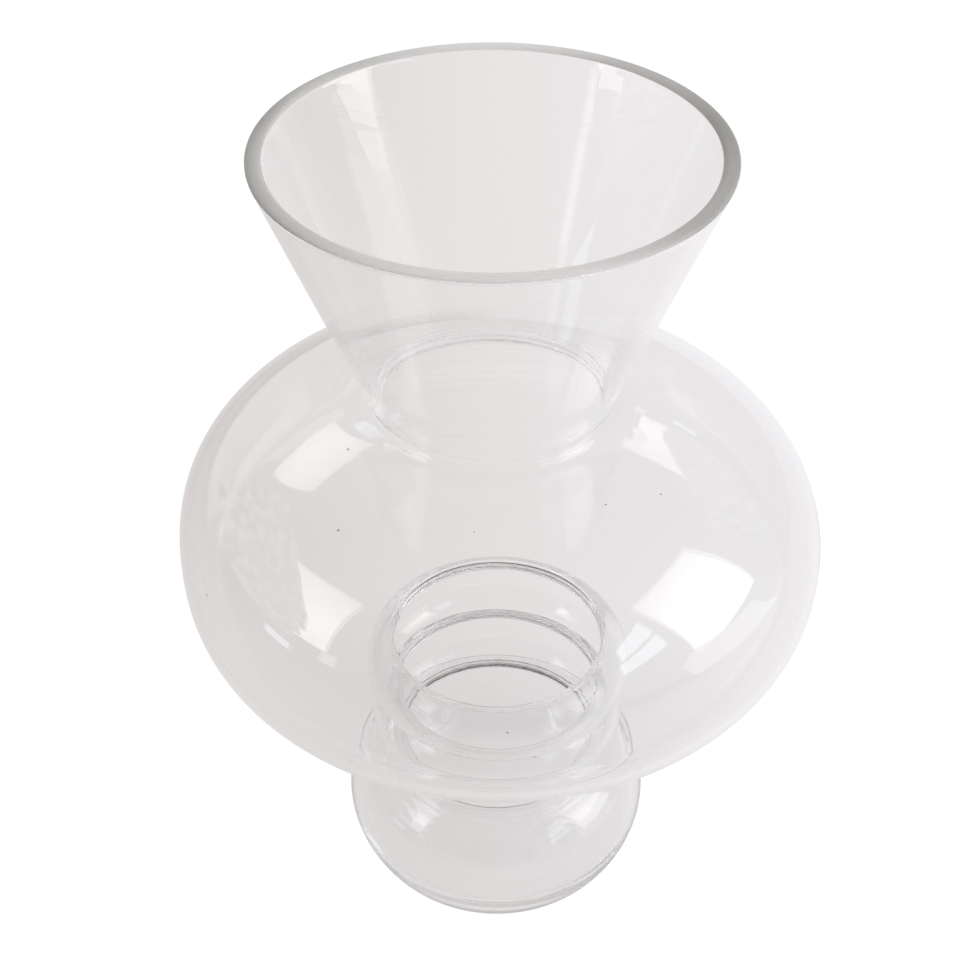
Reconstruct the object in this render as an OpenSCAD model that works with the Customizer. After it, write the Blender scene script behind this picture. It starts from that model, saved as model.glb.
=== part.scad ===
// Glass wasp trap: a funnel mouth on a wide catch bulb, two narrow collars and a rounded foot bowl.
// The five glass sections stand on one another, with a thin silicone seal at each of the four waists.
// Z is up, the axis of the glass is the Z axis, and the origin is at the middle of the underside.

/* [Stack] */
// Height of the whole trap
total_h = 282; // [270:1:300]
// Height of the joint between funnel and bulb
neck_z = 205.2; // [204:0.1:210]
// Height of the joint between bulb and upper collar
upper_waist_z = 101.2; // [101:0.2:103]
// Height of the joint between the two collars
middle_waist_z = 77.5; // [75:0.5:79]
// Height of the joint between lower collar and foot bowl
lower_waist_z = 51.6; // [50:0.2:56]

/* [Openings] */
// Bore of the neck under the funnel, at its narrowest line
neck_bore = 66; // [60:0.5:67]
// Depth of that narrowest line under the bulb's upper lip
throat_drop = 2; // [1:0.2:3]
// Bore of the three lower waists
waist_bore = 68.8; // [66:0.2:70]
// Outer diameter of the neck and of the ground lips at the waists
lip_d = 72.8; // [72:0.2:74]

/* [Funnel] */
// Outer diameter of the rim
rim_d = 131.5; // [115:0.5:145]
// Width of the flat ground land on the rim
rim_wall = 4.8; // [3:0.2:6]
// Bevel on both edges of the rim
rim_bevel = 0.5; // [0.2:0.1:0.8]

/* [Bulb] */
// Outer diameter of the bulb
bulb_d = 199.4; // [190:0.2:208]
// Height of the bulb's widest line
bulb_z = 148.5; // [147:0.5:150]
// Height of the bulb above its widest line, before the neck is cut in
bulb_rise = 54.5; // [53:0.5:55]
// Depth of the bulb below its widest line, before the waist is cut in
bulb_drop = 48.8; // [48:0.2:49]
// Squareness of the bulb's section: 2 is an ellipse
bulb_power = 2.3; // [2.2:0.05:2.5]
// Wall at the widest line and at the floor
bulb_wall = 2.2; // [2:0.2:3.2]
// Wall at the top, where the glass is thickest
crown_wall = 2.8; // [2.4:0.2:5]
// Radial reach of the outer turn from neck to crown
neck_fillet = 10; // [7:0.2:12]
// Radial reach of the inner turn from neck to crown
neck_turn = 13; // [10:0.2:15]

/* [Collars] */
// Outer diameter of the upper collar's bulge
upper_collar_d = 89; // [84:0.5:94]
// Outer diameter of the lower collar's bulge
lower_collar_d = 87.6; // [84:0.2:94]
// Wall of both collars
collar_wall = 2.2; // [1.8:0.2:2.6]

/* [Foot bowl] */
// Outer diameter of the foot bowl
foot_d = 104.8; // [98:0.2:112]
// Height of the foot bowl's widest line
foot_z = 28.8; // [26:0.2:32]
// Diameter of the flat that the trap stands on
base_d = 63; // [56:1:70]
// Squareness of the lower half's section: under 2 is fuller at the slope
foot_power = 1.8; // [1.7:0.05:2]
// Wall of the foot bowl
foot_wall = 3; // [2.4:0.2:3.6]
// Thickness of the foot bowl's floor
foot_floor = 5; // [4:0.5:7]
// Diameter of the shallow hollow under the foot
punt_d = 46; // [36:1:50]
// Depth of the shallow hollow under the foot
punt_h = 1.2; // [0.6:0.2:2]

/* [Seals] */
// Thickness of the three upper seals between their ground lips
seal_h = 0.6; // [0.4:0.1:1.2]
// Thickness of the lower seal, which carries the whole stack
lower_seal_h = 1.4; // [1:0.1:1.8]

/* [Hidden] */

neck_r = neck_bore / 2;
waist_r = waist_bore / 2;
lip_r = lip_d / 2;
rim_r = rim_d / 2;
bulb_r = bulb_d / 2;
foot_r = foot_d / 2;
base_r = base_d / 2;
// The bulb's upper lip, the narrowest line under it and the slopes that the funnel's two skins have
neck_top = neck_z - seal_h / 2;
throat_z = neck_top - throat_drop;
slope_out = atan((rim_r - lip_r) / (total_h - throat_z));
slope_in = atan((rim_r - rim_wall - neck_r) / (total_h - throat_z));
neck_out_r = lip_r + throat_drop * tan(slope_out / 2);
neck_in_r = neck_r + throat_drop * tan(slope_in / 2);
// Straight land inside each bore before the glass swells out
land = 1;
// Radial gap between one curve and the next, closed by a straight stretch
curve_gap = 1;
// Angles between which each rounded turn runs
turn_from = 10;
turn_to = 80;
// Steps in each swept curve
dome_steps = 22;
bulge_steps = 18;
small_steps = 8;
$fn = 128;

glass = [0.86, 0.87, 0.87, 0.45];
silicone = [0.72, 0.72, 0.71];

// A stretch of a superellipse about [cr, cz], from angle t0 to t1
function oval(cr, cz, a, b, power, t0, t1, steps) =
    [for (i = [0:steps])
        let (t = t0 + (t1 - t0) * i / steps, c = cos(t), s = sin(t))
        [cr + a * sign(c) * pow(abs(c), 2 / power), cz + b * sign(s) * pow(abs(s), 2 / power)]];

// The angle at which a superellipse of half-width a about the axis reaches radius r
function oval_angle(r, a, power) = acos(pow(r / a, power / 2));

// The height of a superellipse above its centre at radius r
function oval_height(r, a, b, power) = b * pow(1 - pow(r / a, power), 1 / power);

// The neck's curve from radius r at its narrowest line up to the bulb's lip, where it has the given slope
function flare(r, slope, i0, i1, step) =
    let (arc_r = throat_drop / sin(slope))
    [for (i = [i0:step:i1])
        let (a = slope * i / small_steps)
        [r + arc_r * (1 - cos(a)), throat_z + arc_r * sin(a)]];

module lathe(points) rotate_extrude() polygon(points);

// A straight-sided mouth, thick at the rim and thinner at the neck, with a ground and bevelled rim
module funnel() {
    foot = neck_z + seal_h / 2;
    color(glass) lathe([
        [neck_in_r, foot],
        [neck_out_r, foot],
        [rim_r, total_h - rim_bevel],
        [rim_r - rim_bevel, total_h],
        [rim_r - rim_wall + rim_bevel, total_h],
        [rim_r - rim_wall, total_h - rim_bevel],
    ]);
}

// The wide bulb, from a neck that flares into line with the funnel to the ground lip round its floor hole
module catch_bulb() {
    bottom = upper_waist_z + seal_h / 2;
    crown_r = lip_r + neck_fillet;
    crown_z = bulb_z + oval_height(crown_r, bulb_r, bulb_rise, bulb_power);
    inner_r = bulb_r - bulb_wall;
    inner_rise = bulb_rise - crown_wall;
    inner_drop = bulb_drop - bulb_wall;
    crown_in_r = neck_r + neck_turn;
    crown_in_z = bulb_z + oval_height(crown_in_r, inner_r, inner_rise, bulb_power);
    floor_in_r = waist_r + land;
    floor_in_z = bulb_z - oval_height(floor_in_r, inner_r, inner_drop, bulb_power);
    color(glass) lathe(concat(
        // outer skin of the neck, from the lip down to the crown
        flare(lip_r, slope_out, small_steps, 0, -1),
        oval(crown_r, throat_z, -neck_fillet, crown_z - throat_z, 2,
             turn_from, turn_to, small_steps - 1),
        // outer skin from the crown to the floor
        oval(0, bulb_z, bulb_r, bulb_rise, bulb_power,
             oval_angle(crown_r + curve_gap, bulb_r, bulb_power), 0, dome_steps),
        oval(0, bulb_z, bulb_r, -bulb_drop, bulb_power,
             90 / dome_steps, oval_angle(lip_r + 2 * curve_gap, bulb_r, bulb_power), dome_steps),
        [[lip_r, bottom], [waist_r, bottom]],
        // rounded edge of the hole in the floor
        oval(floor_in_r, bottom + land / 2, -land, floor_in_z - bottom - land / 2, 2, 0, turn_to, small_steps),
        // inner skin from the floor to the crown
        oval(0, bulb_z, inner_r, -inner_drop, bulb_power,
             oval_angle(floor_in_r + curve_gap, inner_r, bulb_power), 0, dome_steps),
        oval(0, bulb_z, inner_r, inner_rise, bulb_power,
             90 / dome_steps, oval_angle(crown_in_r + curve_gap, inner_r, bulb_power), dome_steps),
        // inner skin of the neck, from the crown up to the lip
        oval(crown_in_r, throat_z, -neck_turn, crown_in_z - throat_z, 2,
             turn_to, turn_from, small_steps - 1),
        flare(neck_r, slope_in, 0, small_steps, 1)
    ));
}

// A short ring of glass that swells between two ground lips
module collar(top, bottom, swell_d) {
    middle = (top + bottom) / 2;
    half_h = (top - bottom) / 2;
    swell_r = swell_d / 2;
    color(glass) lathe(concat(
        oval(lip_r, middle, swell_r - lip_r, half_h, 2, 90, -90, bulge_steps),
        [[waist_r, bottom]],
        oval(waist_r, middle, swell_r - collar_wall - waist_r, half_h - land, 2, -90, 90, bulge_steps),
        [[waist_r, top]]
    ));
}

module upper_collar() {
    collar(upper_waist_z - seal_h / 2, middle_waist_z + seal_h / 2, upper_collar_d);
}

module lower_collar() {
    collar(middle_waist_z - seal_h / 2, lower_waist_z + lower_seal_h / 2, lower_collar_d);
}

// The closed bowl that the trap stands on, with a thick floor and a shallow hollow underneath
module foot_bowl() {
    top = lower_waist_z - lower_seal_h / 2;
    punt_r = punt_d / 2;
    color(glass) lathe(concat(
        oval(lip_r, foot_z, foot_r - lip_r, top - foot_z, 2, 90, 0, bulge_steps),
        oval(base_r, foot_z, foot_r - base_r, -foot_z, foot_power, 90 / bulge_steps, 90, bulge_steps - 1),
        oval(0, 0, punt_r, punt_h, 2, 0, 90, small_steps),
        [[0, foot_floor]],
        oval(base_r - foot_wall, foot_z, foot_r - base_r, foot_floor - foot_z, foot_power,
             90, 0, bulge_steps),
        oval(waist_r, foot_z, foot_r - foot_wall - waist_r, top - land - foot_z, 2,
             90 / bulge_steps, 90, bulge_steps - 1),
        [[waist_r, top]]
    ));
}

// A flat ring between two ground lips, flush with their bores and with the outside of the waist
module seal(joint_z, in_r, out_r, thickness) {
    bottom = joint_z - thickness / 2;
    top = joint_z + thickness / 2;
    color(silicone) lathe([[in_r, bottom], [out_r, bottom], [out_r, top], [in_r, top]]);
}

module neck_seal() seal(neck_z, neck_in_r, neck_out_r, seal_h);
module upper_seal() seal(upper_waist_z, waist_r, lip_r, seal_h);
module middle_seal() seal(middle_waist_z, waist_r, lip_r, seal_h);
module lower_seal() seal(lower_waist_z, waist_r, lip_r, lower_seal_h);

funnel();
neck_seal();
catch_bulb();
upper_seal();
upper_collar();
middle_seal();
lower_collar();
lower_seal();
foot_bowl();
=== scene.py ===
"""Looks of the glass wasp trap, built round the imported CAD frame. Metres, Z up, origin under the foot."""

import math

import bpy
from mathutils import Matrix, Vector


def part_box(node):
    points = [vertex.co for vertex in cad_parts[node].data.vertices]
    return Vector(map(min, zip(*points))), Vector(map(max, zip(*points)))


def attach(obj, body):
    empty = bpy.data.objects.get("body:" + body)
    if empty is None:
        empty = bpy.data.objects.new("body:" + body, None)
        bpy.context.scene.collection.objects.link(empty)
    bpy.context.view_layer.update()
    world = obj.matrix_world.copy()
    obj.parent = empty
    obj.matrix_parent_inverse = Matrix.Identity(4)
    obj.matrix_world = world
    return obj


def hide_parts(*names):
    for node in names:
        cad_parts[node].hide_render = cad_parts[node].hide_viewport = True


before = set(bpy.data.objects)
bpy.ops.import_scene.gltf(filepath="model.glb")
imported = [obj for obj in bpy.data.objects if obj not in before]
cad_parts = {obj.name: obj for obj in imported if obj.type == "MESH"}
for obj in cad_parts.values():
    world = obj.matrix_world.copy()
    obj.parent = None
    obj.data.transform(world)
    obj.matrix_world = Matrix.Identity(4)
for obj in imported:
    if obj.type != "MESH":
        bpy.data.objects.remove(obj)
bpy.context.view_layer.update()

# ---------------------------------------------------------------- sizes

MM = 0.001
TAU = 2 * math.pi
AROUND = 256  # segments round the axis of each section
ON_AXIS = 1e-7  # a point nearer the axis than this is on it

# heights and widths that the CAD frame gives
rim_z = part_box("funnel")[1].z
rim_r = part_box("funnel")[1].x
funnel_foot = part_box("funnel")[0].z
bulb_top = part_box("catch_bulb")[1].z
bulb_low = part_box("catch_bulb")[0].z
bulb_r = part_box("catch_bulb")[1].x
upper_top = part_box("upper_collar")[1].z
upper_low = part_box("upper_collar")[0].z
upper_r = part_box("upper_collar")[1].x
lower_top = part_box("lower_collar")[1].z
lower_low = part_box("lower_collar")[0].z
lower_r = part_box("lower_collar")[1].x
foot_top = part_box("foot_bowl")[1].z
foot_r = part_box("foot_bowl")[1].x

# walls and curves inside those boxes, as in the CAD source
neck_r = 33.0 * MM
waist_r = 34.4 * MM
lip_r = 36.4 * MM
rim_wall = 4.8 * MM
rim_round = 1.6 * MM
ground_depth = 0.55 * MM
bulb_z = 148.5 * MM
bulb_rise = 54.5 * MM
bulb_drop = 48.8 * MM
bulb_power = 2.3
bulb_wall = 2.2 * MM
crown_wall = 2.8 * MM
neck_fillet = 10.0 * MM
neck_turn = 13.0 * MM
throat_drop = 2.0 * MM
collar_wall = 2.2 * MM
land = 1.0 * MM
foot_z = 28.8 * MM
base_r = 31.5 * MM
foot_power = 1.8
foot_wall = 3.0 * MM
foot_floor = 5.0 * MM
punt_r = 23.0 * MM
punt_h = 1.2 * MM

# radial gaps between one curve and the next, each closed by a straight stretch
outer_gap = 1.0 * MM
inner_gap = 0.6 * MM

# the narrowest line of the neck, and the slopes and radii with which it runs on into the funnel
throat_z = bulb_top - throat_drop
slope_out = math.atan((rim_r - lip_r) / (rim_z - throat_z))
slope_in = math.atan((rim_r - rim_wall - neck_r) / (rim_z - throat_z))
neck_out_r = lip_r + throat_drop * math.tan(slope_out / 2)
neck_in_r = neck_r + throat_drop * math.tan(slope_in / 2)

# how far the blown bulb, and the neck and mouth, stand off the axis
BULB_OFF = 0.5 * MM
NECK_OFF = -2.5 * MM


# ---------------------------------------------------------------- profiles

def oval(cr, cz, a, b, power, t0, t1, steps):
    """A stretch of a superellipse about (cr, cz), from angle t0 to t1 in degrees, as (r, z) points."""
    points = []
    for i in range(steps + 1):
        t = math.radians(t0 + (t1 - t0) * i / steps)
        c, s = math.cos(t), math.sin(t)
        points.append((
            cr + a * math.copysign(abs(c) ** (2 / power), c),
            cz + b * math.copysign(abs(s) ** (2 / power), s),
        ))
    return points


def oval_angle(r, a, power):
    """The angle at which a superellipse of half-width a about the axis reaches radius r."""
    return math.degrees(math.acos((r / a) ** (power / 2)))


def oval_height(r, a, b, power):
    """The height of a superellipse above its centre at radius r."""
    return b * (1 - (r / a) ** power) ** (1 / power)


def smooth(t):
    """0 up to t = 0, 1 from t = 1, and an S-shaped rise between them."""
    t = min(1, max(0, t))
    return t * t * (3 - 2 * t)


def dish(r, depth, steps=24):
    """A shallow hollow about the axis with soft edges, from its edge to its middle."""
    return [(r * (1 - i / steps), depth * smooth(i / steps)) for i in range(steps + 1)]


def flare(r, slope, steps=8):
    """The neck's curve from radius r at its narrowest line up to the bulb's lip, where it has that slope."""
    arc_r = throat_drop / math.sin(slope)
    angles = [slope * i / steps for i in range(steps + 1)]
    return [(r + arc_r * (1 - math.cos(a)), throat_z + arc_r * math.sin(a)) for a in angles]


def towards(p, q, reach):
    """The point at that distance from p on the way to q."""
    d = math.hypot(q[0] - p[0], q[1] - p[1])
    return (p[0] + (q[0] - p[0]) * reach / d, p[1] + (q[1] - p[1]) * reach / d)


def softened(corners, reaches, steps=6):
    """A closed outline with each corner turned in a small curve; a reach of 0 keeps it sharp."""
    points = []
    for i, (corner, reach) in enumerate(zip(corners, reaches)):
        if not reach:
            points.append(corner)
            continue
        start = towards(corner, corners[i - 1], reach)
        end = towards(corner, corners[(i + 1) % len(corners)], reach)
        for k in range(steps + 1):
            t = k / steps
            a, b, c = (1 - t) ** 2, 2 * t * (1 - t), t * t
            points.append((
                a * start[0] + b * corner[0] + c * end[0],
                a * start[1] + b * corner[1] + c * end[1],
            ))
    return points


def filled_in(outline, longest):
    """The closed outline with points added so that no stretch is longer than that."""
    points = []
    for i, p in enumerate(outline):
        q = outline[(i + 1) % len(outline)]
        steps = max(1, math.ceil(math.hypot(q[0] - p[0], q[1] - p[1]) / longest))
        points += [(p[0] + (q[0] - p[0]) * k / steps, p[1] + (q[1] - p[1]) * k / steps) for k in range(steps)]
    return points


def thinned(points, least=0.02 * MM):
    """Drops points that nearly repeat the one before."""
    kept = [points[0]]
    for p in points[1:]:
        if math.dist(p, kept[-1]) > least:
            kept.append(p)
    if math.dist(kept[0], kept[-1]) < least:
        kept.pop()
    return kept


# ---------------------------------------------------------------- lathe

def waver(angle, z, phase):
    """The slight unevenness of glass worked by hand, from -1 to 1: slow waves round the axis and along it."""
    return (
        0.5 * math.sin(2 * angle + phase)
        + 0.3 * math.sin(3 * angle + 40 * z + 2 * phase)
        + 0.2 * math.sin(5 * angle - 70 * z + 3 * phase)
    )


def lean(z):
    """How far the glass stands off the axis along X: the bulb to the right, neck and mouth to the left."""
    if z < bulb_z:
        return BULB_OFF * smooth((z - bulb_low) / (bulb_z - bulb_low))
    return BULB_OFF + (NECK_OFF - BULB_OFF) * smooth((z - bulb_z) / (bulb_top - 6 * MM - bulb_z))


def turn_out(mesh):
    """Flips the mesh if its faces point inwards."""
    volume = 0.0
    for p in mesh.polygons:
        v = [mesh.vertices[i].co for i in p.vertices]
        for k in range(1, len(v) - 1):
            volume += v[0].dot(v[k].cross(v[k + 1]))
    if volume < 0:
        mesh.flip_normals()


def lathe(name, outline, body, node, materials, kind_at=lambda r, z: 0, unevenness=0.0, phase=0.0):
    """A closed solid of revolution through the (r, z) outline, riding on its body in place of its CAD node.

    kind_at(r, z) gives the index of the material for the faces whose middle is there.
    """
    verts, faces, kinds, rings = [], [], [], []
    for r, z in outline:
        if r < ON_AXIS:
            rings.append([len(verts)])
            verts.append((lean(z), 0, z))
            continue
        rings.append(list(range(len(verts), len(verts) + AROUND)))
        for j in range(AROUND):
            angle = TAU * j / AROUND
            rr = r + unevenness * waver(angle, z, phase) * min(1, r / (20 * MM))
            verts.append((rr * math.cos(angle) + lean(z), rr * math.sin(angle), z))
    for i, (p, a) in enumerate(zip(outline, rings)):
        q, b = outline[(i + 1) % len(outline)], rings[(i + 1) % len(rings)]
        kind = kind_at((p[0] + q[0]) / 2, (p[1] + q[1]) / 2)
        if len(a) == 1 and len(b) == 1:
            continue
        for j in range(AROUND):
            k = (j + 1) % AROUND
            if len(a) == 1:
                faces.append((a[0], b[k], b[j]))
            elif len(b) == 1:
                faces.append((a[j], a[k], b[0]))
            else:
                faces.append((a[j], a[k], b[k], b[j]))
            kinds.append(kind)
    mesh = bpy.data.meshes.new(name)
    mesh.from_pydata(verts, [], faces)
    mesh.update()
    for m in materials:
        mesh.materials.append(m)
    mesh.polygons.foreach_set("material_index", kinds)
    mesh.polygons.foreach_set("use_smooth", [True] * len(kinds))
    mesh.set_sharp_from_angle(angle=math.radians(32))
    turn_out(mesh)
    piece = bpy.data.objects.new(name, mesh)
    bpy.context.scene.collection.objects.link(piece)
    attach(piece, body)
    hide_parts(node)


# ---------------------------------------------------------------- materials

def new_material(name):
    """A node material, its node tree and its Principled shader."""
    m = bpy.data.materials.new(name)
    m.use_nodes = True
    return m, m.node_tree, m.node_tree.nodes["Principled BSDF"]


def object_coords(nt):
    """The socket with positions in the piece's own frame."""
    return nt.nodes.new("ShaderNodeTexCoord").outputs["Object"]


def noise(nt, coords, scale, detail=2.0, roughness=0.5):
    """Soft noise from 0 to 1; scale is in cells a metre."""
    n = nt.nodes.new("ShaderNodeTexNoise")
    n.inputs["Scale"].default_value = scale
    n.inputs["Detail"].default_value = detail
    n.inputs["Roughness"].default_value = roughness
    nt.links.new(coords, n.inputs["Vector"])
    return n.outputs["Fac"]


def maths(nt, operation, a, b, c=None):
    """A Math node; a, b and c are sockets or numbers."""
    n = nt.nodes.new("ShaderNodeMath")
    n.operation = operation
    for i, v in enumerate((a, b, c)):
        if v is None:
            continue
        if isinstance(v, (int, float)):
            n.inputs[i].default_value = v
        else:
            nt.links.new(v, n.inputs[i])
    return n.outputs["Value"]


def ramp(nt, source, stops):
    """A colour ramp through (position, colour) stops."""
    r = nt.nodes.new("ShaderNodeValToRGB")
    elements = r.color_ramp.elements
    while len(elements) < len(stops):
        elements.new(0.5)
    for e, (at, colour) in zip(elements, stops):
        e.position = at
        e.color = (*colour, 1)
    nt.links.new(source, r.inputs["Fac"])
    return r.outputs["Color"]


def mix_colours(nt, share, a, b):
    """A colour mix; a and b are colours or sockets."""
    n = nt.nodes.new("ShaderNodeMix")
    n.data_type = "RGBA"
    nt.links.new(share, n.inputs["Factor"])
    for socket, v in (("A", a), ("B", b)):
        colours = [i for i in n.inputs if i.name == socket and i.type == "RGBA"][0]
        if isinstance(v, tuple):
            colours.default_value = (*v, 1)
        else:
            nt.links.new(v, colours)
    return [o for o in n.outputs if o.type == "RGBA"][0]


def bump(nt, shader, height, strength, distance):
    b = nt.nodes.new("ShaderNodeBump")
    b.inputs["Strength"].default_value = strength
    b.inputs["Distance"].default_value = distance
    nt.links.new(height, b.inputs["Height"])
    nt.links.new(b.outputs["Normal"], shader.inputs["Normal"])


def lets_lamps_through(nt, shader, share):
    """Mixes in a Transparent shader for shadow rays, so that light reaches what the glass stands on."""
    path = nt.nodes.new("ShaderNodeLightPath")
    clear = nt.nodes.new("ShaderNodeBsdfTransparent")
    clear.inputs["Color"].default_value = (share, share, share, 1)
    mix = nt.nodes.new("ShaderNodeMixShader")
    nt.links.new(path.outputs["Is Shadow Ray"], mix.inputs["Fac"])
    nt.links.new(shader.outputs["BSDF"], mix.inputs[1])
    nt.links.new(clear.outputs["BSDF"], mix.inputs[2])
    nt.links.new(mix.outputs["Shader"], nt.nodes["Material Output"].inputs["Surface"])


def grey(value):
    return (value, value, value)


def split_xyz(nt, vector):
    """The X, Y and Z sockets of a vector socket."""
    n = nt.nodes.new("ShaderNodeSeparateXYZ")
    nt.links.new(vector, n.inputs["Vector"])
    return n.outputs["X"], n.outputs["Y"], n.outputs["Z"]


def camera_ray(nt):
    """1 for rays straight from the camera, 0 for those that glass has bent or mirrored."""
    return nt.nodes.new("ShaderNodeLightPath").outputs["Is Camera Ray"]


def slant(nt):
    """0 where a skin is seen square on, rising to 1 where it is seen edge on."""
    n = nt.nodes.new("ShaderNodeLayerWeight")
    n.inputs["Blend"].default_value = 0.5
    return n.outputs["Facing"]


def specks(nt, coords, scale, size):
    """1 on a few tiny spots scattered over the surface, 0 elsewhere."""
    cells = nt.nodes.new("ShaderNodeTexVoronoi")
    cells.inputs["Scale"].default_value = scale
    nt.links.new(coords, cells.inputs["Vector"])
    return maths(nt, "LESS_THAN", cells.outputs["Distance"], size * scale)


RIPPLE_SPAN = 0.3  # the height over which the depth of the glass's ripple is laid out


def blown_glass(name, soft_horizon=False, edge_shade_tone=0.97):
    """Clear blown glass, faintly grey, with a few specks of dust; its ripple is deeper between the waists.

    A soft horizon lets light straight through where the skin is seen edge on. The edge shade tone is the
    colour given to the skin where it is seen edge on: near 0.97 it is the glass's faint grey, and lower it is
    painted shade that draws a dark outline.
    """
    m, nt, shader = new_material(name)
    shader.inputs["Transmission Weight"].default_value = 1.0
    shader.inputs["IOR"].default_value = 1.5
    shader.inputs["Roughness"].default_value = 0.0
    at = object_coords(nt)
    dust = specks(nt, at, 48.0, 0.00035)
    edge_on = slant(nt)
    # where the skin is seen edge on its colour turns to the edge tone; a low edge tone paints shade there as
    # a dark outline
    clear = ramp(nt, edge_on, [(0.72, (0.97, 0.97, 0.971)), (0.86, grey(edge_shade_tone))])
    tint = mix_colours(nt, dust, clear, (0.12, 0.11, 0.10))
    nt.links.new(tint, shader.inputs["Base Color"])
    swirl = noise(nt, at, 24.0, 0.0)
    hand = noise(nt, at, 75.0, 0.0)
    height = split_xyz(nt, at)[2]
    depth = ramp(nt, maths(nt, "DIVIDE", height, RIPPLE_SPAN), [
        (0.0, grey(0.5)),
        (0.15, grey(0.5)),
        (0.17, grey(0)),
        (0.20, grey(0.4)),
        (0.235, grey(0.4)),
        (0.258, grey(0)),
        (0.28, grey(0.4)),
        (0.315, grey(0.4)),
        (0.337, grey(0)),
        (0.36, grey(0.15)),
        (0.41, grey(0)),
    ])
    ripple = maths(nt, "MULTIPLY_ADD", hand, depth, swirl)
    bump(nt, shader, ripple, 0.10, 0.0012)
    if soft_horizon:
        skin = ramp(nt, edge_on, [(0.26, grey(1)), (0.55, grey(0.06))])
        nt.links.new(skin, shader.inputs["Alpha"])
    lets_lamps_through(nt, shader, 0.97)
    return m


def frosted_rim_painted_light():
    """The ground land of the rim: satin grey with fine marks from the wheel; its painted light and shade make
    it paler along its front and back and darker at its sides.

    On its left a painted highlight also makes it paler towards its inner edge.
    """
    m, nt, shader = new_material("frosted_rim_painted_light")
    shader.inputs["Transmission Weight"].default_value = 0.25
    shader.inputs["IOR"].default_value = 1.5
    shader.inputs["Roughness"].default_value = 0.34
    at = object_coords(nt)
    grain = noise(nt, at, 700.0, 3.0, 0.6)
    east, north, _ = split_xyz(nt, at)
    # painted light and shade: the land is paler at its front and back and darker at its sides
    back = maths(nt, "MULTIPLY_ADD", north, 0.5 / rim_r, 0.5)
    shade = maths(nt, "MULTIPLY_ADD", grain, 0.03, back)
    tone = ramp(nt, shade, [
        (0.05, (0.78, 0.775, 0.76)),
        (0.20, (0.46, 0.457, 0.44)),
        (0.62, (0.32, 0.318, 0.30)),
        (0.90, (0.50, 0.50, 0.49)),
        (1.0, (0.78, 0.78, 0.77)),
    ])
    # painted highlight: on the left the land grows paler towards its inner edge
    across = maths(nt, "SUBTRACT", east, NECK_OFF)
    squares = maths(nt, "ADD", maths(nt, "MULTIPLY", across, across), maths(nt, "MULTIPLY", north, north))
    inward = maths(nt, "MULTIPLY_ADD", maths(nt, "SQRT", squares, 0.0), -1 / rim_wall, rim_r / rim_wall)
    leftward = maths(nt, "DIVIDE", across, -rim_r)
    painted_inner_left_light = ramp(nt, maths(nt, "MULTIPLY", inward, leftward), [(0.15, grey(0)), (1.0, grey(0.75))])
    nt.links.new(mix_colours(nt, painted_inner_left_light, tone, (0.74, 0.735, 0.72)), shader.inputs["Base Color"])
    bump(nt, shader, grain, 0.15, 0.0002)
    lets_lamps_through(nt, shader, 0.9)
    return m


def ground_lip(name, skin):
    """A ground lip that meets a wet seal: only the skin's share of light meets satin glass."""
    m, nt, shader = new_material(name)
    shader.inputs["Transmission Weight"].default_value = 1.0
    shader.inputs["IOR"].default_value = 1.5
    shader.inputs["Base Color"].default_value = (0.93, 0.925, 0.92, 1)
    shader.inputs["Alpha"].default_value = skin
    grain = noise(nt, object_coords(nt), 900.0, 3.0, 0.6)
    nt.links.new(maths(nt, "MULTIPLY_ADD", grain, 0.2, 0.15), shader.inputs["Roughness"])
    lets_lamps_through(nt, shader, 0.95)
    return m


def wet_silicone():
    """The neck's seal: water-clear silicone with a wet skin, all but lost between the glass."""
    m, nt, shader = new_material("wet_silicone")
    shader.inputs["Transmission Weight"].default_value = 1.0
    shader.inputs["IOR"].default_value = 1.49
    cloud = noise(nt, object_coords(nt), 260.0, 2.0)
    nt.links.new(maths(nt, "MULTIPLY_ADD", cloud, 0.04, 0.0), shader.inputs["Roughness"])
    nt.links.new(ramp(nt, cloud, [(0.3, (0.96, 0.96, 0.955)), (0.7, (0.98, 0.98, 0.98))]),
                 shader.inputs["Base Color"])
    lets_lamps_through(nt, shader, 0.97)
    return m


def clear_silicone():
    """Translucent silicone with a satin skin."""
    m, nt, shader = new_material("clear_silicone")
    shader.inputs["Transmission Weight"].default_value = 0.92
    shader.inputs["IOR"].default_value = 1.43
    at = object_coords(nt)
    cloud = noise(nt, at, 260.0, 3.0, 0.6)
    nt.links.new(maths(nt, "MULTIPLY_ADD", cloud, 0.2, 0.05), shader.inputs["Roughness"])
    nt.links.new(ramp(nt, cloud, [(0.3, (0.90, 0.895, 0.89)), (0.7, (0.96, 0.955, 0.95))]),
                 shader.inputs["Base Color"])
    lets_lamps_through(nt, shader, 0.95)
    return m


def stained_edge(name, low, high, scale):
    """The inner edge of a seal, greyed where bait and dust have settled on it."""
    m, nt, shader = new_material(name)
    shader.inputs["Transmission Weight"].default_value = 0.3
    shader.inputs["IOR"].default_value = 1.41
    shader.inputs["Roughness"].default_value = 0.45
    at = object_coords(nt)
    speckle = noise(nt, at, scale, 4.0, 0.7)
    nt.links.new(ramp(nt, speckle, [(0.38, low), (0.62, high)]), shader.inputs["Base Color"])
    bump(nt, shader, speckle, 0.1, 0.0002)
    lets_lamps_through(nt, shader, 0.7)
    return m


glass = blown_glass("blown_glass")
turn_glass = blown_glass("turned_glass", soft_horizon=True)
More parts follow.
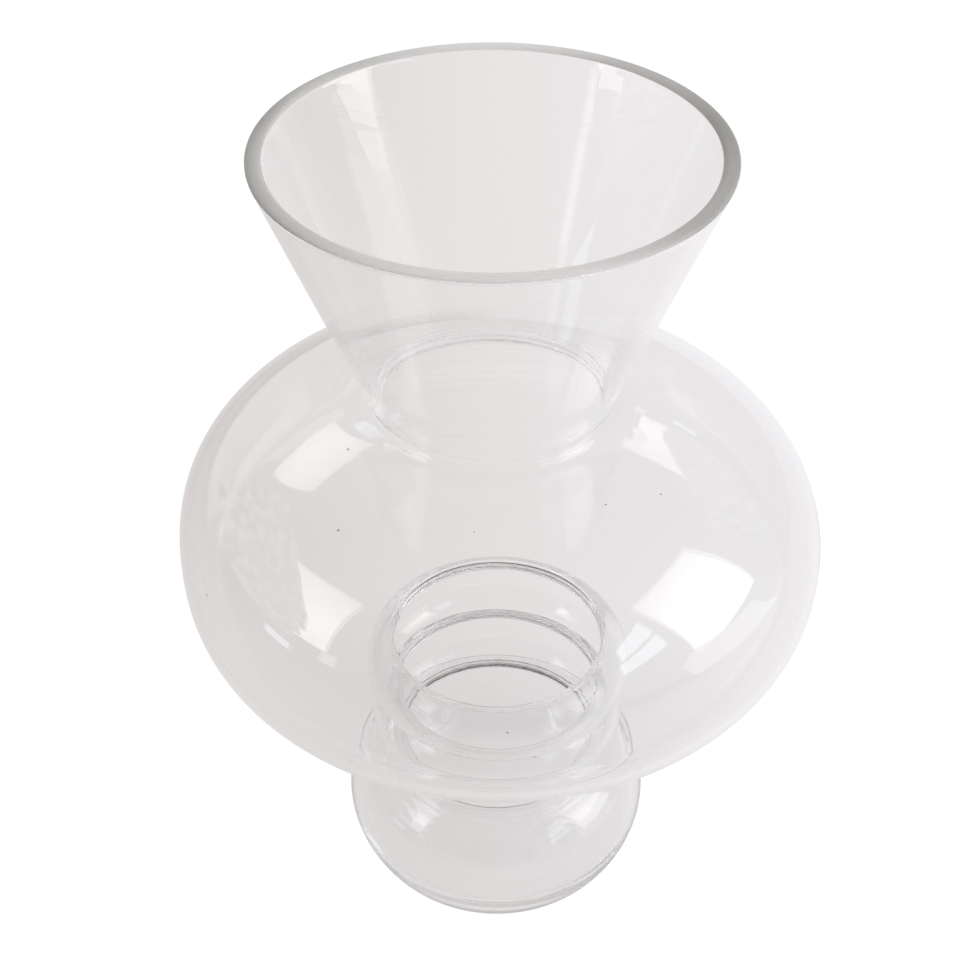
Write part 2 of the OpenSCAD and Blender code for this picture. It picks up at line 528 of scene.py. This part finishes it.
# the foot's outer skin is painted dark where it is seen edge on: painted shade for the foot's dark outline
foot_glass_shaded_edge = blown_glass("foot_glass_shaded_edge", edge_shade_tone=0.30)
rim_glass = frosted_rim_painted_light()
lip_glass = ground_lip("ground_lip", 0.2)
wet_lip = ground_lip("wet_lip", 0.03)
silicone = clear_silicone()
clear_bead = wet_silicone()
fine_stain = stained_edge("stained_edge_fine", (0.42, 0.41, 0.40), (0.64, 0.63, 0.62), 500.0)
dark_stain = stained_edge("stained_edge_dark", (0.05, 0.05, 0.048), (0.34, 0.33, 0.32), 900.0)


# ---------------------------------------------------------------- glass sections

# places in each section's list of materials: glass, lip, one more of its own, and the neck's turn
GLASS, LIP, RIM, WET, FOOT, TURN = 0, 1, 2, 2, 2, 3
TOUCH = 0.01 * MM  # faces this close to a joint plane are the ground lip


def build_funnel():
    """The straight-sided mouth, with a ground rim."""
    corners = [(neck_in_r, funnel_foot), (neck_out_r, funnel_foot), (rim_r, rim_z), (rim_r - rim_wall, rim_z)]
    outline = filled_in(softened(corners, [0, 0, rim_round, rim_round]), 2 * MM)

    def kind_at(r, z):
        if z < funnel_foot + TOUCH:
            return LIP
        return RIM if z > rim_z - ground_depth else GLASS

    lathe("funnel_glass", thinned(outline), "mouth", "funnel", [glass, wet_lip, rim_glass],
          kind_at, 0.10 * MM, 0.4)


def build_bulb():
    """The wide bulb, from its flared neck to the ground lip round its floor hole."""
    crown_r = lip_r + neck_fillet
    crown_z = bulb_z + oval_height(crown_r, bulb_r, bulb_rise, bulb_power)
    inner_r = bulb_r - bulb_wall
    inner_rise, inner_drop = bulb_rise - crown_wall, bulb_drop - bulb_wall
    crown_in_r = neck_r + neck_turn
    crown_in_z = bulb_z + oval_height(crown_in_r, inner_r, inner_rise, bulb_power)
    floor_in_r = waist_r + land
    floor_in_z = bulb_z - oval_height(floor_in_r, inner_r, inner_drop, bulb_power)
    steps = 110
    outline = (
        flare(lip_r, slope_out)[::-1]
        + oval(crown_r, throat_z, -neck_fillet, crown_z - throat_z, 2, 5, 80, 16)
        + oval(0, bulb_z, bulb_r, bulb_rise, bulb_power,
               oval_angle(crown_r + outer_gap, bulb_r, bulb_power), 0, steps)
        + oval(0, bulb_z, bulb_r, -bulb_drop, bulb_power,
               90 / steps, oval_angle(lip_r + 2 * outer_gap, bulb_r, bulb_power), steps)
        + [(lip_r, bulb_low), (waist_r, bulb_low)]
        + oval(floor_in_r, bulb_low + land / 2, -land, floor_in_z - bulb_low - land / 2, 2, 0, 80, 12)
        + oval(0, bulb_z, inner_r, -inner_drop, bulb_power,
               oval_angle(floor_in_r + inner_gap, inner_r, bulb_power), 0, steps)
        + oval(0, bulb_z, inner_r, inner_rise, bulb_power,
               90 / steps, oval_angle(crown_in_r + inner_gap, inner_r, bulb_power), steps)
        + oval(crown_in_r, throat_z, -neck_turn, crown_in_z - throat_z, 2, 80, 5, 16)
        + flare(neck_r, slope_in)
    )

    def in_neck_turn(r, z):
        """Whether that place is on the inner turn from the neck to the crown."""
        if r > crown_in_r or z < crown_in_z or z > throat_z:
            return False
        return math.hypot((crown_in_r - r) / neck_turn, (throat_z - z) / (throat_z - crown_in_z)) > 0.95

    def kind_at(r, z):
        if z > bulb_top - TOUCH:
            return WET
        if in_neck_turn(r, z):
            return TURN
        return LIP if z < bulb_low + TOUCH else GLASS

    lathe("catch_bulb_glass", thinned(outline), "bulb", "catch_bulb",
          [glass, lip_glass, wet_lip, turn_glass], kind_at, 0.15 * MM, 1.1)


def build_collar(name, top, bottom, swell_r, body, node, phase):
    """A short ring of glass that swells between two ground lips."""
    middle, half = (top + bottom) / 2, (top - bottom) / 2
    steps = 80
    outline = (
        oval(lip_r, middle, swell_r - lip_r, half, 2, 90, -90, steps)
        + [(waist_r, bottom)]
        + oval(waist_r, middle, swell_r - collar_wall - waist_r, half - land, 2, -90, 90, steps)
        + [(waist_r, top)]
    )

    def kind_at(r, z):
        flat = waist_r < r < lip_r and (z < bottom + TOUCH or z > top - TOUCH)
        return LIP if flat else GLASS

    lathe(name, thinned(outline), body, node, [glass, lip_glass], kind_at, 0.08 * MM, phase)


def build_foot():
    """The closed bowl that the trap stands on."""
    steps = 80
    outline = (
        oval(lip_r, foot_z, foot_r - lip_r, foot_top - foot_z, 2, 90, 0, steps)
        + oval(base_r, foot_z, foot_r - base_r, -foot_z, foot_power, 90 / steps, 90, steps)
        + dish(punt_r, punt_h)
        + [(0, foot_floor)]
        + oval(base_r - foot_wall, foot_z, foot_r - base_r, foot_floor - foot_z, foot_power, 90, 0, steps)
        + oval(waist_r, foot_z, foot_r - foot_wall - waist_r, foot_top - land - foot_z, 2,
               90 / steps, 90, steps)
        + [(waist_r, foot_top)]
    )

    def on_outer_skin(r, z):
        """Whether that place is clearly outside the oval that the inner skin follows."""
        if z > foot_z:
            inner_r, half_h, power = waist_r, foot_top - land - foot_z, 2
        else:
            inner_r, half_h, power = base_r - foot_wall, foot_z - foot_floor, foot_power
        u = max(0, r - inner_r) / (foot_r - foot_wall - inner_r)
        return u ** power + (abs(z - foot_z) / half_h) ** power > 1.04

    def kind_at(r, z):
        if z > foot_top - TOUCH and r < lip_r:
            return LIP
        # the outer skin takes the glass with the painted dark outline
        return FOOT if on_outer_skin(r, z) else GLASS

    lathe("foot_bowl_glass", thinned(outline), "foot", "foot_bowl",
          [glass, lip_glass, foot_glass_shaded_edge], kind_at, 0.08 * MM, 2.0)


# ---------------------------------------------------------------- seals

def build_seal(name, bottom, top, in_r, out_r, body, node, edge, faces, outer=None):
    """A flat washer between two ground lips, flush with the bore and the outside of the waist."""
    outline = [(in_r, bottom), (out_r, bottom), (out_r, top), (in_r, top)]

    def kind_at(r, z):
        if r < in_r + TOUCH:
            return 2
        return 0 if r > out_r - TOUCH else 1

    lathe(name, outline, body, node, [outer or silicone, faces, edge], kind_at)


build_funnel()
build_bulb()
build_collar("upper_collar_glass", upper_top, upper_low, upper_r, "upper_ring", "upper_collar", 0.7)
build_collar("lower_collar_glass", lower_top, lower_low, lower_r, "lower_ring", "lower_collar", 2.9)
build_foot()
build_seal("neck_seal_ring", bulb_top, funnel_foot, neck_in_r, neck_out_r, "bulb", "neck_seal",
           clear_bead, wet_lip, clear_bead)
build_seal("upper_seal_ring", upper_top, bulb_low, waist_r, lip_r, "upper_ring", "upper_seal",
           fine_stain, lip_glass)
build_seal("middle_seal_ring", lower_top, upper_low, waist_r, lip_r, "lower_ring", "middle_seal",
           fine_stain, lip_glass)
build_seal("lower_seal_ring", foot_top, lower_low, waist_r, lip_r, "foot", "lower_seal",
           dark_stain, lip_glass, fine_stain)


# ---------------------------------------------------------------- stage: floor, room and windows

def glow_material(name):
    """A material with only an Emission shader, its node tree and that shader."""
    m = bpy.data.materials.new(name)
    m.use_nodes = True
    nt = m.node_tree
    nt.nodes.remove(nt.nodes["Principled BSDF"])
    glow = nt.nodes.new("ShaderNodeEmission")
    nt.links.new(glow.outputs["Emission"], nt.nodes["Material Output"].inputs["Surface"])
    return m, nt, glow


def emitter(name, colour, strength):
    """A plain glow of one colour."""
    m, nt, glow = glow_material(name)
    glow.inputs["Color"].default_value = (*colour, 1)
    glow.inputs["Strength"].default_value = strength
    return m


def sheet(name, corners, material):
    """One flat face of the stage through those corners."""
    mesh = bpy.data.meshes.new(name)
    mesh.from_pydata(corners, [], [list(range(len(corners)))])
    mesh.materials.append(material)
    o = bpy.data.objects.new(name, mesh)
    bpy.context.scene.collection.objects.link(o)
    return o


def floor_material():
    """White where it is seen directly; through the glass, painted light: the grey of a backdrop sheet lit
    from the right.

    That painted grey is dimmer far to the left and far in front, and a painted shadow darkens it under the
    foot.
    """
    m, nt, glow = glow_material("floor_white")
    at = object_coords(nt)
    east, north, _ = split_xyz(nt, at)
    # painted light: the grey brightens from left to right, as if lit from the right
    backdrop_painted_light = ramp(nt, maths(nt, "ADD", east, 0.5), [
        (0.0, (0.60, 0.565, 0.555)),
        (0.40, (0.77, 0.742, 0.735)),
        (0.50, (0.85, 0.825, 0.82)),
        (0.60, (0.90, 0.88, 0.885)),
        (0.9, (0.93, 0.915, 0.945)),
    ])
    # painted shade: dimmer far to the left and far in front
    aside = maths(nt, "MULTIPLY", east, -0.5)
    in_front = maths(nt, "MULTIPLY", north, -0.8)
    far = maths(nt, "MAXIMUM", aside, in_front)
    fade = ramp(nt, far, [(0.25, grey(0)), (0.6, grey(0.6)), (1.0, grey(1))])
    lit = mix_colours(nt, fade, backdrop_painted_light, (0.42, 0.42, 0.43))
    out = nt.nodes.new("ShaderNodeVectorMath")
    out.operation = "LENGTH"
    nt.links.new(at, out.inputs[0])
    # painted shadow under the foot, seen through the glass
    under = ramp(nt, out.outputs["Value"], [(0.05, grey(0.12)), (0.14, grey(0))])
    lit_with_painted_foot_shadow = mix_colours(nt, under, lit, (0.10, 0.10, 0.12))
    nt.links.new(mix_colours(nt, camera_ray(nt), lit_with_painted_foot_shadow, grey(1.03)), glow.inputs["Color"])
    return m


def room():
    """The room that the glass mirrors: dim on the left, bright on the right, with a pale backdrop behind."""
    world = bpy.data.worlds.new("room")
    bpy.context.scene.world = world
    world.use_nodes = True
    nt = world.node_tree
    sky = nt.nodes["Background"]
    east, north, _ = split_xyz(nt, nt.nodes.new("ShaderNodeTexCoord").outputs["Generated"])
    walls = ramp(nt, maths(nt, "MULTIPLY_ADD", east, 0.5, 0.5), [
        (0.0, (0.34, 0.32, 0.31)),
        (0.4, (0.50, 0.48, 0.47)),
        (0.6, (0.62, 0.61, 0.61)),
        (1.0, (0.78, 0.78, 0.80)),
    ])
    behind = ramp(nt, north, [(0.25, grey(0)), (0.75, grey(1))])
    around = mix_colours(nt, behind, walls, (0.80, 0.775, 0.77))
    nt.links.new(mix_colours(nt, camera_ray(nt), around, grey(1)), sky.inputs["Color"])
    sky.inputs["Strength"].default_value = 1.0


FLOOR_HALF = 12.0
SIDE = 1.6  # how far to each side the windows stand


def pane_glow(name, colour, strength, core, reach):
    """A window's light: brightest within reach of its core (y, z), and a little weaker towards its edges."""
    m, nt, glow = glow_material(name)
    away = nt.nodes.new("ShaderNodeVectorMath")
    away.operation = "DISTANCE"
    nt.links.new(object_coords(nt), away.inputs[0])
    away.inputs[1].default_value = (0, *core)
    share = maths(nt, "DIVIDE", away.outputs["Value"], reach)
    edge = tuple(0.5 * c for c in colour)
    nt.links.new(ramp(nt, share, [(0.0, colour), (1.0, edge)]), glow.inputs["Color"])
    glow.inputs["Strength"].default_value = strength
    return m


def leafy_glow():
    """Foliage outside the left window: dim grey-green, with paler gaps between the leaves."""
    m, nt, glow = glow_material("window_leaves")
    leaves = noise(nt, object_coords(nt), 7.0, 5.0, 0.7)
    tone = ramp(nt, leaves, [(0.44, (0.40, 0.40, 0.37)), (0.60, (0.98, 0.98, 0.94))])
    nt.links.new(tone, glow.inputs["Color"])
    return m


def pane(name, side, outline, material):
    """One flat window or a part of it, given as (y, z) corners on the plane x = side."""
    sheet(name, [(0, y, z) for y, z in outline], material).location.x = side


def ragged(corners, reach, every, phase):
    """An open line through the corners, broken into leafy teeth of that reach."""
    line, at = [], 0
    for p, q in zip(corners, corners[1:]):
        steps = max(1, round(math.dist(p, q) / every))
        for k in range(steps):
            t = k / steps
            off = reach * (0.6 * math.sin(2.1 * at + phase) + 0.4 * math.sin(4.7 * at + 2 * phase))
            line.append((p[0] + (q[0] - p[0]) * t + off, p[1] + (q[1] - p[1]) * t + off * 0.6))
            at += 1
    return line + [corners[-1]]


floor_corners = [(x * FLOOR_HALF, y * FLOOR_HALF, 0) for x, y in ((-1, -1), (1, -1), (1, 1), (-1, 1))]
sheet("floor", floor_corners, floor_material())
room()

right_light = pane_glow("window_light", (1, 1, 1), 4.2, (-0.30, 1.1), 1.2)
sill_light = emitter("window_sill", (1.0, 1.0, 1.0), 1.5)
left_light = pane_glow("window_light_left", (1, 1, 1), 3.6, (-0.85, 1.2), 1.3)
leaf_light = leafy_glow()
blue_light = emitter("window_blue", (0.85, 0.92, 1.0), 2.8)
pale_blue_light = emitter("window_pale_blue", (0.85, 0.92, 1.0), 2.2)

pane("right_window", SIDE, [(-0.77, 0.42), (0.15, 0.58), (0.38, 1.88), (-0.74, 2.35)], right_light)
pane("right_sill", SIDE,
     [(-1.0, 0.36), (-0.88, 0.02), (0.22, 0.02), (0.06, 0.22), (0.0, 0.42), (-0.84, 0.56)], sill_light)
pane("left_post", -SIDE, [(-1.28, 0.45), (-1.03, 0.42), (-1.04, 0.66), (-1.26, 0.78)], sill_light)
leafy = ragged([(-0.66, 0.58), (-0.70, 0.85), (-0.60, 1.12), (-0.44, 1.25), (-0.16, 1.50), (0.12, 1.63)],
               0.045, 0.06, 0.8)
pane("left_window", -SIDE, [(-1.08, 0.71)] + leafy + [(-0.79, 2.53)], left_light)
pane("left_leaves", -SIDE - 0.02, [(-0.72, 0.50), (1.20, 0.34), (1.10, 1.85), (0.10, 1.75), (-0.60, 1.3)],
     leaf_light)
pane("blue_pane_low", SIDE, [(-1.84, 1.0), (-0.95, 1.05), (-0.93, 1.42), (-1.82, 1.34)], blue_light)
pane("blue_pane_high", SIDE, [(-1.70, 1.43), (-0.93, 1.50), (-0.92, 1.98), (-1.66, 1.84)], blue_light)
pane("blue_pane_left", -SIDE, [(-0.68, 0.19), (-0.36, 0.19), (-0.36, 0.33), (-0.68, 0.33)], pale_blue_light)


# ---------------------------------------------------------------- camera

LOOK_DOWN = 39.5  # degrees below the horizon


def build_camera():
    """A camera in front of the trap, half a metre up, that looks down on it."""
    data = bpy.data.cameras.new("camera")
    cam = bpy.data.objects.new("camera", data)
    bpy.context.scene.collection.objects.link(cam)
    bpy.context.scene.camera = cam
    data.sensor_width = 36.0
    data.lens = 60.9
    data.clip_start = 0.01
    data.clip_end = 60.0
    cam.location = (-0.0058, -0.387, 0.487)
    cam.rotation_euler = (math.radians(90 - LOOK_DOWN), 0, 0)


build_camera()
bpy.context.scene.view_settings.view_transform = "Standard"

# light crosses many faces of glass, so paths are let run on
cycles = bpy.context.scene.cycles
cycles.max_bounces = 64
cycles.transmission_bounces = 64
cycles.glossy_bounces = 64
cycles.transparent_max_bounces = 16
